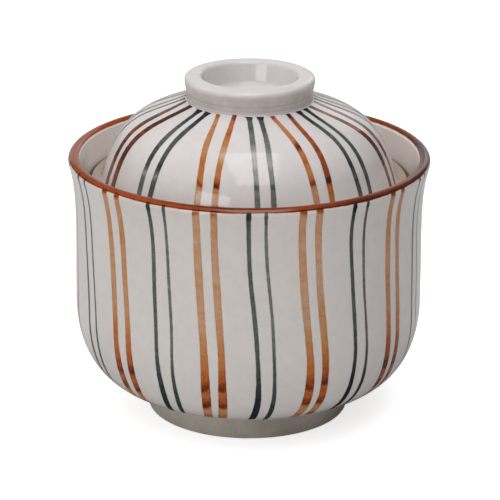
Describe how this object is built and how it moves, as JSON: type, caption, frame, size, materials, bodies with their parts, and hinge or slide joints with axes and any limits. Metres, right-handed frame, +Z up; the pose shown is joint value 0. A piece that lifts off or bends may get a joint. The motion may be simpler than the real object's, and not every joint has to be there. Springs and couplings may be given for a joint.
{
  "type": "chawanmushi cup",
  "caption": "Upright stoneware cup on a foot ring for steamed savoury custard, with a domed lid that drops into its mouth and lifts off by a hollow ring knob.",
  "frame": {"origin": "on the table, at the centre of the foot ring", "axes": "+Z up along the axis that both pieces are turned on, -Y towards the side that the picture shows"},
  "size_m": [0.082, 0.082, 0.079],
  "materials": {
    "cup_glaze": "glossy warm grey-white glaze over stoneware, painted under it with upright pairs of orange and green lines, iron-brown lip, foot ring left bare",
    "lid_glaze": "glossy warm grey-white glaze over stoneware, painted under it with pairs of orange and green lines that fan out from the knob, underside of the brim left bare"
  },
  "bodies": {
    "cup": {"cup": "cup_glaze"},
    "lid": {"lid": "lid_glaze"}
  },
  "joints": [
    {"name": "lid_lift", "type": "slide", "parent": "cup", "child": "lid", "axis": [0, 0, 1], "range_m": [0, 0.1]}
  ]
}
